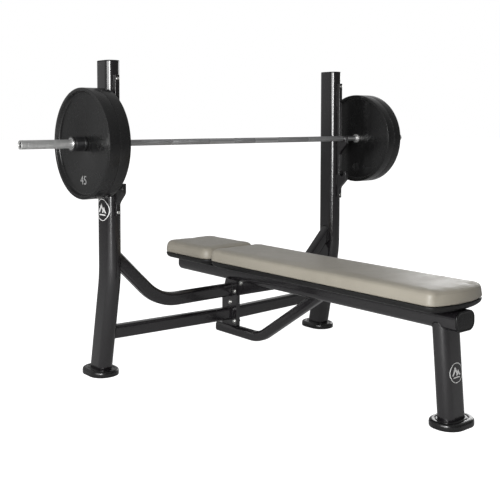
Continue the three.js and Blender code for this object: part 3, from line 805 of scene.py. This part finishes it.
def make_liner(node):
    """A strip bent round the inside of a hook, with a flared top on each side."""
    low, high, middle, size = box(node)
    outside, inside = size.y / 2, BAR_RADIUS + GAP
    centre_z = low.z + outside
    rise = high.z - centre_z
    lip, step = 1.4 * MM, 0.6 * MM
    points = [
        (-outside, rise), *arc(24, math.pi, math.pi, outside),
        (outside, rise), (outside - lip, rise + step), (inside, rise - step),
        *arc(24, TAU, -math.pi, inside),
        (-inside, rise - step), (-outside + lip, rise + step)]
    outline = [(middle.y + y, centre_z + z) for y, z in points]
    piece = add_piece(
        node + "_strip", *prism(outline, low, high), PLASTIC, "frame", "black_plastic", [node])
    round_edges(piece, 0.5 * MM, 2, 50)


# ---- barbell

# Millimetres from here to make_barbell, except for the shaft's profile.
SLEEVE_RADIUS, SLEEVE_BORE = 17.5, 12.3
WEIGHT_BORE = 17.8
WEIGHT_RIM, WEIGHT_RECESS = 13, 16


def make_shaft():
    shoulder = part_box("right_sleeve")[0].x - GAP
    end = BAR_HIGH.x
    journal = 10 * MM
    profile = [(-end, journal - 1 * MM), (-end + 1 * MM, journal), (-shoulder, journal),
               (-shoulder, BAR_RADIUS - 1.5 * MM), (-shoulder + 1.5 * MM, BAR_RADIUS)]
    # A shallow groove where each band of knurling starts or stops.
    for along in (-640, -410, -405, -200, -60):
        profile += [((along - 0.5) * MM, BAR_RADIUS), (along * MM, BAR_RADIUS - 0.12 * MM),
                    ((along + 0.5) * MM, BAR_RADIUS)]
    profile += [(-along, radius) for along, radius in reversed(profile)]
    add_piece(
        "bar_shaft_knurled", *lathe(profile, 64, loop=False), SHAFT, "barbell", "bar_steel",
        ["bar_shaft"])


def turned(corners, side, corner_steps, steps=LATHE_STEPS):
    """A closed profile of (distance along X, radius, corner radius) points, turned."""
    return lathe(mm(*rounded_polyline(corners, corner_steps)), steps, side=side)


def span(node):
    """How far out along the bar a node starts and ends, and its radius."""
    low, high, _, size = box(node)
    start, end = sorted((abs(low.x), abs(high.x)))
    return start / MM, end / MM, size.z / 2 / MM


def make_sleeve(side, node):
    start, end, flange = span(node)
    body, bore = SLEEVE_RADIUS, SLEEVE_BORE
    shape = turned([
        (start, bore, 0.6), (start, flange, 2.5), (start + 12.2, flange, 2.2),
        (start + 12.2, body, 0.8), (end - 30, body, 0.2), (end - 28, body - 0.5, 0.3),
        (end - 26, body, 0.2), (end, body, 2.2), (end, body - 3.2, 0.4),
        (end - 2.2, body - 3.6, 0.4), (end - 2.2, bore, 0.4)], side, 5, 64)
    add_piece(node + "_tube", *shape, SLEEVE, node, "sleeve_steel", [node], 30)


def make_weight(side, node, body):
    start, end, radius = span(node)
    bore, recess = WEIGHT_BORE, WEIGHT_RECESS
    face = radius - WEIGHT_RIM
    web = face - 4
    disc = turned([
        (start + recess, bore, 0.8),
        (start + recess, web - 2, 7), (start + 1.2, face - 0.5, 1.2), (start, face + 1, 1.2),
        (start, radius, 2.2), (end, radius, 2.2),
        (end, face + 1, 1.2), (end - 1.2, face - 0.5, 1.2), (end - recess, web - 2, 7),
        (end - recess, bore, 0.8)], side, 4, 128)
    add_piece(node + "_disc", *disc, WEIGHT, body, "weight_coating", [node], 28)
    # A plain steel bush lines the bore.
    one, two = start + recess - 0.2, end - recess + 0.2
    bush = turned([
        (one, bore + 0.05, 0.3), (one, bore + 3.2, 0.4),
        (two, bore + 3.2, 0.4), (two, bore + 0.05, 0.3)], side, 3, 64)
    add_piece(node + "_bush", *bush, ZINC, body, "bright_fastener")


def make_collar(side, node):
    start, end, radius = span(node)
    bore, groove = WEIGHT_BORE, radius - 1.0
    shape = turned([
        (start, bore, 0.4), (start, radius - 1.4, 0.6), (start + 1.4, radius, 0.6),
        (start + 9, radius, 0.4), (start + 10, groove, 0.4),
        (start + 12, groove, 0.4), (start + 13, radius, 0.4),
        (end - 13, radius, 0.4), (end - 12, groove, 0.4),
        (end - 10, groove, 0.4), (end - 9, radius, 0.4),
        (end - 2.6, radius, 0.8), (end - 0.8, radius - 2.4, 0.5),
        (end - 0.8, bore + 6.4, 0.2), (end - 0.8, bore, 0.2)], side, 3)
    add_piece(node + "_sleeve", *shape, COLLAR, node, "collar_black", [node], 30)
    trim = turned([
        (end - 2.0, bore + 0.2, 0.3), (end - 2.0, bore + 6.4, 0.2),
        (end - 0.4, bore + 6.4, 0.8), (end - 0.02, bore + 5.2, 0.5),
        (end - 0.02, bore + 1.2, 0.5), (end - 0.6, bore + 0.2, 0.3)], side, 3)
    add_piece(node + "_ring", *trim, CHROME, node, "sleeve_steel")
    dress(node + "_screw", ZINC, 0.3 * MM)
    # A raised boss carries the set screw.
    screw = box(node + "_screw")[2]
    spot = Vector((screw.x, BAR.y, BAR.z)) - Y * (radius - 1.4) * MM
    rings = disc_rings(spot, X, Z, -Y, mm(
        (8, -1), (8, 0.6), (7.4, 1.2), (5.2, 1.35), (4.5, 1.0), (4.5, -1)), 36)
    add_piece(
        node + "_boss", *loft(rings, loop=True), COLLAR, node, "collar_black", angle=40)


def make_barbell():
    make_shaft()
    for side, hand in HANDS:
        make_sleeve(side, hand + "_sleeve")
        for which in ("inner", "outer"):
            make_weight(side, f"{hand}_{which}_weight", hand + "_weights")
        make_collar(side, hand + "_collar")
        dress(hand + "_sleeve_plug", PLASTIC, 0.6 * MM)
        for which in ("inner", "outer"):
            dress(f"{hand}_{which}_bushing", BRONZE, 0.4 * MM)


# ---- markings

NUMERAL_SIZE, NUMERAL_THICK, NUMERAL_EDGE = 50 * MM, 0.8 * MM, 0.1 * MM
# From the bar's axis to the middle of the numerals, along Y and up.
NUMERAL_BACK, NUMERAL_DROP = 8 * MM, 147 * MM

BADGE_THICK, BADGE_SUNK = 0.35 * MM, -0.4 * MM
BADGE_STRIP = 3 * MM
UPRIGHT_BADGE_Z, UPRIGHT_BADGE = 715 * MM, 46 * MM
LEG_BADGE_Z, LEG_BADGE = 189 * MM, 36 * MM
# The ring's inner edge, and two peaks over a base line, as shares of the badge's radius.
BADGE_INNER = 0.93
MOUNTAIN_MARK = (
    ((-0.66, -0.26), (-0.16, 0.58), (0.12, 0.12), (0.01, -0.06), (-0.16, 0.22), (-0.44, -0.26)),
    ((-0.06, -0.26), (0.28, 0.30), (0.64, -0.26), (0.42, -0.26), (0.28, -0.04), (0.15, -0.26)),
    ((-0.54, -0.50), (0.54, -0.50), (0.46, -0.39), (-0.46, -0.39)),
)


def text_mesh(name, words):
    data = bpy.data.curves.new(name, "FONT")
    data.body = words
    data.size = NUMERAL_SIZE
    data.extrude = NUMERAL_THICK / 2
    data.bevel_depth = NUMERAL_EDGE
    data.resolution_u = 6
    data.align_x = "CENTER"
    data.align_y = "CENTER"
    holder = add_object(name, data)
    bpy.context.view_layer.update()
    mesh = bpy.data.meshes.new_from_object(evaluated(holder))
    bpy.data.objects.remove(holder)
    return mesh


def make_numerals():
    for side, hand in HANDS:
        for which, out, finish in (
            ("outer", side, GREY_PRINT), ("inner", -side, DARK_RAISED),
        ):
            node = f"{hand}_{which}_weight"
            low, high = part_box(node)
            face_x = (high.x if out > 0 else low.x) - out * WEIGHT_RECESS * MM
            spot = Vector((face_x, BAR.y + NUMERAL_BACK, BAR.z - NUMERAL_DROP))
            # Stands the text, drawn flat in XY, up against the weight's face.
            turn = Matrix((Y * out, Z, X * out)).transposed().to_4x4()
            mesh = text_mesh(f"{node}_text", "45")
            mesh.transform(Matrix.Translation(spot) @ turn)
            add_mesh(f"{node}_number", mesh, finish, hand + "_weights")


def make_badge(name, middle, right, up, radius):
    """A thin ring round a plain mountain mark, printed on the paint and round its corners."""
    out = right.cross(up)
    rings = disc_rings(Vector(), X, Y, Z, (
        (radius, BADGE_SUNK), (radius, BADGE_THICK),
        (radius * BADGE_INNER, BADGE_THICK), (radius * BADGE_INNER, BADGE_SUNK)), 96)
    parts = [loft(rings, loop=True)]
    for mark in MOUNTAIN_MARK:
        parts.append(loft([
            [Vector((u * radius, v * radius, d)) for u, v in mark]
            for d in (BADGE_SUNK, BADGE_THICK)]))
    piece = add_piece(name, *merge(*parts), WHITE_PRINT, "frame")
    shape = bmesh.new()
    shape.from_mesh(piece.data)
    # Cut into strips, so that it can follow the tube's round corners.
    columns = int(radius / BADGE_STRIP)
    for i in range(-columns, columns + 1):
        everything = shape.verts[:] + shape.edges[:] + shape.faces[:]
        bmesh.ops.bisect_plane(
            shape, geom=everything, plane_co=(i * BADGE_STRIP, 0, 0), plane_no=(1, 0, 0))
    for vertex in shape.verts:
        u, v, d = vertex.co
        back = corner_drop(u, TUBE_WIDE / 2, TUBE_CORNER)
        vertex.co = middle + right * u + up * v + out * (d - back)
    bmesh.ops.recalc_face_normals(shape, faces=shape.faces)
    shape.to_mesh(piece.data)
    shape.free()


def make_badges():
    for side, hand in HANDS:
        face = Vector((side * (UPRIGHT_X + TUBE_THIN / 2), PLANE_Y, UPRIGHT_BADGE_Z))
        make_badge(hand + "_upright_badge", face, Y * side, Z, UPRIGHT_BADGE)
    foot_y = box("front_foot")[2].y
    front = Vector((0, foot_y + LEG_LEAN * LEG_BADGE_Z, LEG_BADGE_Z))
    along = Vector((0, LEG_LEAN, 1)).normalized()
    out = Vector((0, -1, LEG_LEAN)).normalized()
    make_badge("front_leg_badge", front + out * (TUBE_THIN / 2), X, along, LEG_BADGE)


# ---- pads

# Each pad's foot-end corners, head-end corners, and the radius of a bowed foot end.
PAD_SHAPES = {"main": (38 * MM, 46 * MM, 350 * MM), "head": (46 * MM, 58 * MM, None)}
BOARD_INSET = 3 * MM
BOARD_EDGE = 22
SHARPEST = 2 * MM
SAME_POINT = 0.01 * MM
# A slack pad that the filling swells out: (inset mm, share of its height) from the underside.
SLACK_PROFILE = (
    (2, 0), (2, 0.12), (2, 0.32), (2.2, 0.5), (3.2, 0.64),
    (5.8, 0.77), (10.5, 0.87), (17.5, 0.92), (30, 0.94), (66, 0.95),
)
VOXEL, QUICK_VOXEL = 6 * MM, 8 * MM
PAD_PRESSURE = 4
SWELL_STEPS = 20
MOST_SWELL = 3 * MM
HELD_HEIGHT = 7 * MM
# How far in from the pad's edge the seam and its stitches run, in mm.
SEAM_INSET, STITCH_INSET = 9.5, 12.5
STITCH_SPACING = 4 * MM


def pad_outline(low, high, shape, inset=0.0, steps=8):
    """The plan of a pad: straight sides, round corners, and a foot end that may be bowed."""
    near, far, bow = shape
    near, far = max(near - inset, SHARPEST), max(far - inset, SHARPEST)
    half, head = high.x - inset, high.y - inset
    foot_x, head_x = half - near, half - far
    foot_y, turn, arcs = low.y + inset + near, -TAU / 4, []
    if bow:
        middle, radius = low.y + bow, bow - inset
        foot_y = middle - math.sqrt((radius - near) ** 2 - foot_x ** 2)
        turn = math.atan2(foot_y - middle, foot_x)
        arcs = [(0, middle, radius, -TAU / 2 - turn, turn)]
    arcs += [
        (foot_x, foot_y, near, turn, 0),
        (head_x, head - far, far, 0, TAU / 4),
        (-head_x, head - far, far, TAU / 4, TAU / 2),
        (-foot_x, foot_y, near, TAU / 2, TAU / 2 - turn),
    ]
    points = []
    for cx, cy, radius, start, end in arcs:
        for u, v in arc(steps, start, end - start, radius):
            point = Vector((cx + u, cy + v))
            if not points or (point - points[-1]).length > SAME_POINT:
                points.append(point)
    if (points[0] - points[-1]).length <= SAME_POINT:
        points.pop()
    return points


def pad_rings(low, high, shape, profile):
    """Rings of a pad from (inset, height) pairs in mm, heights from the pad's underside."""
    return [
        [Vector((u, v, low.z + z * MM)) for u, v in pad_outline(low, high, shape, inset * MM)]
        for inset, z in profile
    ]


def apply_modifiers(piece):
    mesh = bpy.data.meshes.new_from_object(evaluated(piece))
    old = piece.data
    piece.modifiers.clear()
    piece.data = mesh
    bpy.data.meshes.remove(old)


def voxel_remesh(piece, size):
    remesh = piece.modifiers.new("remesh", "REMESH")
    remesh.mode = "VOXEL"
    remesh.voxel_size = size
    apply_modifiers(piece)


def inflate(piece, floor):
    """Blows the pad up as cloth, held along its underside, and keeps each point within reach."""
    start = [v.co.copy() for v in piece.data.vertices]
    held = piece.vertex_groups.new(name="held")
    held.add([i for i, p in enumerate(start) if p.z < floor + HELD_HEIGHT], 1.0, "REPLACE")
    cloth = piece.modifiers.new("cloth", "CLOTH")
    settings = cloth.settings
    settings.vertex_group_mass = "held"
    settings.use_pressure = True
    settings.uniform_pressure_force = PAD_PRESSURE
    settings.effector_weights.gravity = 0
    settings.quality = 4
    settings.tension_stiffness = 15
    settings.bending_stiffness = 6
    cloth.collision_settings.use_collision = False
    scene = bpy.context.scene
    for step in range(1, SWELL_STEPS + 1):
        scene.frame_set(step)
    moved = [v.co.copy() for v in evaluated(piece).data.vertices]
    scene.frame_set(1)
    piece.modifiers.clear()
    for vertex, before, after in zip(piece.data.vertices, start, moved):
        shift = after - before
        if shift.length > MOST_SWELL:
            shift *= MOST_SWELL / shift.length
        vertex.co = before + shift


def make_pad(node, shape):
    low, high, _, size = box(node)
    tall = size.z / MM
    rings = pad_rings(low, high, shape, [(inset, tall * share) for inset, share in SLACK_PROFILE])
    piece = add_piece(
        node + "_cover", *loft(rings), VINYL, "frame", "upholstery", [node], 180)
    voxel_remesh(piece, VOXEL)
    inflate(piece, low.z)
    # Fitted back to the box's width and height.
    top = max(v.co.z for v in piece.data.vertices)
    reach = max(abs(v.co.x) for v in piece.data.vertices)
    for vertex in piece.data.vertices:
        vertex.co.z = low.z + (vertex.co.z - low.z) / (top - low.z) * size.z
        vertex.co.x *= high.x / reach
    smooth = piece.modifiers.new("relax", "SMOOTH")
    smooth.factor = 0.5
    smooth.iterations = 8
    smoother = piece.modifiers.new("finer", "SUBSURF")
    smoother.levels = 1
    apply_modifiers(piece)
    for polygon in piece.data.polygons:
        polygon.use_smooth = True
    piece.data.materials.clear()
    piece.data.materials.append(VINYL)
    make_seams(node, piece, low, high, shape)


def make_seams(node, piece, low, high, shape):
    """A sewn seam just inside the top edge, and a row of stitches beside it."""
    bpy.context.view_layer.update()

    def on_top(inset):
        loop = [Vector((u, v, 0)) for u, v in pad_outline(low, high, shape, inset * MM, 14)]
        points = []
        for point in resample(loop, STITCH_SPACING):
            hit, spot, normal, _ = piece.ray_cast(
                Vector((point.x, point.y, high.z + 0.1)), Vector((0, 0, -1)))
            if hit:
                points.append((spot, normal))
        return points

    welt = on_top(SEAM_INSET)
    count = len(welt)
    rings = []
    for i, (spot, normal) in enumerate(welt):
        along = (welt[(i + 1) % count][0] - welt[i - 1][0]).normalized()
        side = along.cross(normal).normalized()
        rings.append(ellipse(spot + normal * 0.05 * MM, side, normal, 0.9 * MM, 0.55 * MM, 6))
    add_piece(node + "_seam", *loft(rings, loop=True), SEAM, "frame", "upholstery")
    parts = []
    thread = on_top(STITCH_INSET)
    for i in range(0, len(thread) - 1, 2):
        (start, normal), (end, _) = thread[i], thread[i + 1]
        along = end - start
        side = along.normalized().cross(normal).normalized()
        parts.append(loft([
            ellipse(start + along * share, side, normal, radius * MM, radius * MM, 5)
            for share, radius in ((0.0, 0.25), (0.25, 0.5), (0.75, 0.5), (1.0, 0.25))]))
    add_piece(node + "_stitches", *merge(*parts), THREAD, "frame", "upholstery")


def make_board(node, shape):
    low, high, _, size = box(node)
    tall = size.z / MM
    profile = [(BOARD_EDGE * (1 - v), BOARD_EDGE * (1 - u)) for u, v in arc(8, 0, TAU / 4)]
    profile += [(0, tall - 1.3), (0.3, tall - 0.4), (1.2, tall)]
    rings = pad_rings(low, high, shape, profile)
    add_piece(node + "_panel", *loft(rings), BOARD, "frame", "pad_board", [node], 40)


def make_pads():
    for name, shape in PAD_SHAPES.items():
        make_pad(name + "_pad", shape)
        make_board(name + "_board", [radius and radius - BOARD_INSET for radius in shape])


# ---- studio

FLOOR_SIZE, FLOOR_Z = 40.0, -0.0005
FLOOR_GLOW = 0.97

WORLD_BASE = 0.13
# (direction, strength, tightness) of each soft glow.
WORLD_GLOWS = (
    ((-0.55, 0.83, 0.1), 0.30, 3),
    ((0.85, 0.5, 0.15), 0.5, 6),
    ((0, 0, 1), 0.18, 2),
)

# (name, place, target, width, height, power in watts) of each lamp.
LAMPS = (
    ("key", (-4.5, -1.7, 1.75), (0, 0, 0.9), 4.2, 2.2, 150),
    ("strip", (-3.1, -2.1, 1.36), (-0.66, 0.48, 1.2), 0.5, 1.9, 75),
    ("right", (4.6, 1.4, 1.5), (0, -0.5, 0.5), 2.6, 1.8, 48),
)

# The photo's camera. Angles in degrees, lens and sensor in mm, shifts as shares of the sensor.
CAMERA = (-2.4712, -2.5281, 1.0856)
YAW, PITCH = 39.0, 3.57
FOCAL_MM, SENSOR_MM = 60.15, 36
SHIFT = (0.0495, -0.1548)
CLIP_END = 200


def make_floor():
    mesh = bpy.data.meshes.new("studio_floor")
    corners = ((-1, -1), (1, -1), (1, 1), (-1, 1))
    mesh.from_pydata(
        [(u * FLOOR_SIZE, v * FLOOR_SIZE, FLOOR_Z) for u, v in corners], [], [(0, 1, 2, 3)])
    look = Look("pale_floor")
    seen = look.add("LightPath").outputs["Is Camera Ray"]
    mesh.materials.append(look.shade(
        Base_Color=look.blend(look.patches(3, 3), 0.58, 0.60),
        Roughness=0.9, Specular_IOR_Level=0.1, Emission_Color=1,
        Emission_Strength=look.maths("MULTIPLY", seen, FLOOR_GLOW)))
    floor = add_object("studio_floor", mesh)


def make_world():
    """White behind the object; what lights it is brighter to the right and at the back left."""
    world = bpy.data.worlds.new("studio")
    bpy.context.scene.world = world
    sky = Graph(world)
    way = sky.add("TexCoord").outputs["Generated"]
    total = WORLD_BASE
    for direction, strength, power in WORLD_GLOWS:
        facing = sky.add(
            "VectorMath", {0: way, 1: Vector(direction).normalized()},
            operation="DOT_PRODUCT").outputs["Value"]
        glow = sky.maths("POWER", sky.maths("MAXIMUM", facing, 0), power)
        total = sky.maths("ADD", sky.maths("MULTIPLY", glow, strength), total)
    light = sky.add("Background", {"Color": 1, "Strength": total})
    seen = sky.nodes["Background"]
    sky.feed(seen.inputs["Color"], 1)
    sky.feed(seen.inputs["Strength"], 1.0)
    camera_ray = sky.add("LightPath").outputs["Is Camera Ray"]
    mix = sky.add("MixShader", {0: camera_ray, 1: light.outputs[0], 2: seen.outputs[0]})
    sky.feed(sky.nodes["World Output"].inputs["Surface"], mix.outputs[0])


def make_lights():
    for name, spot, target, width, height, power in LAMPS:
        data = bpy.data.lights.new(name, "AREA")
        data.shape = "RECTANGLE"
        data.size, data.size_y = width, height
        data.energy = power
        lamp = add_object(name, data)
        lamp.location = spot
        aim = Vector(target) - Vector(spot)
        lamp.rotation_euler = aim.to_track_quat("-Z", "Y").to_euler()


def make_camera():
    data = bpy.data.cameras.new("photo_view")
    data.lens = FOCAL_MM
    data.sensor_width = SENSOR_MM
    data.shift_x, data.shift_y = SHIFT
    data.clip_end = CLIP_END
    camera = add_object("photo_view", data)
    camera.location = CAMERA
    camera.rotation_euler = (math.radians(90 - PITCH), 0, math.radians(-YAW))
    bpy.context.scene.camera = camera


make_camera()
make_floor()
make_world()
make_lights()
make_uprights()
make_caps()
make_feet()
make_leg()
make_spine()
make_arms()
make_brace()
make_plates()
make_bolts()
make_racks()
make_barbell()
make_numerals()
make_badges()
make_pads()

bpy.context.scene.view_settings.view_transform = "Standard"
